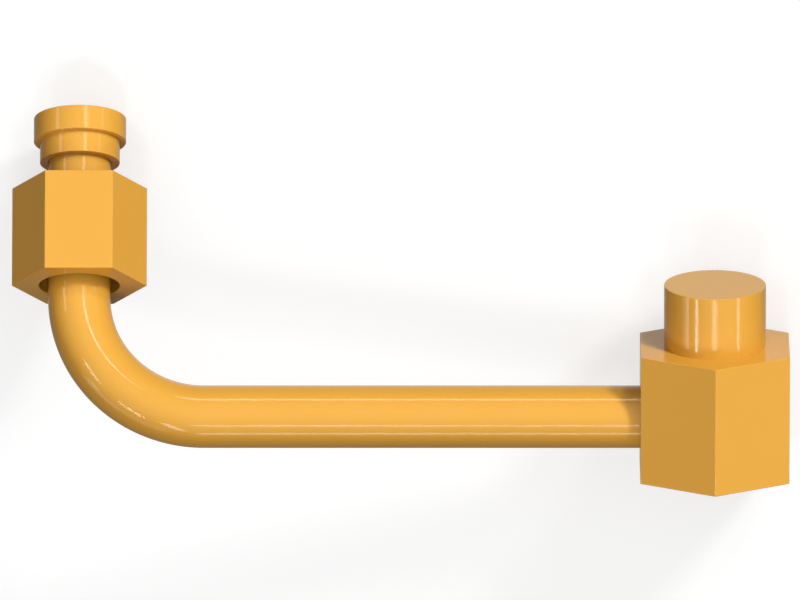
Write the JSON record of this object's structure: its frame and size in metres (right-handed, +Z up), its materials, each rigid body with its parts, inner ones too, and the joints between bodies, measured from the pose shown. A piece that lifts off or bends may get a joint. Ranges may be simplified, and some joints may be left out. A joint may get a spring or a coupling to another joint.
{
  "type": "hydraulic tube",
  "caption": "Bent steel hydraulic tube with a face-seal sleeve and loose hexagon nut on its turned-up end and a hexagon port block with a plain spigot on the other, painted yellow.",
  "frame": {"origin": "middle of the line's box, on the surface that it lies on", "axes": "+X along the long run from the nut's end to the block's end, +Y the way the block's spigot points, +Z up from the surface that it lies on"},
  "size_m": [0.162, 0.0692, 0.0456],
  "materials": {
    "yellow_paint": "glossy yellow-orange enamel"
  },
  "bodies": {
    "line": {"bent_tube": "yellow_paint", "braze_sleeve": "yellow_paint", "port_block": "yellow_paint"},
    "nut": {"tube_nut": "yellow_paint"}
  },
  "joints": [
    {"name": "nut_slide", "type": "slide", "parent": "line", "child": "nut", "axis": [-0.1176, 0.8192, -0.5614], "range_m": [-0.0103, 0.0252]}
  ]
}
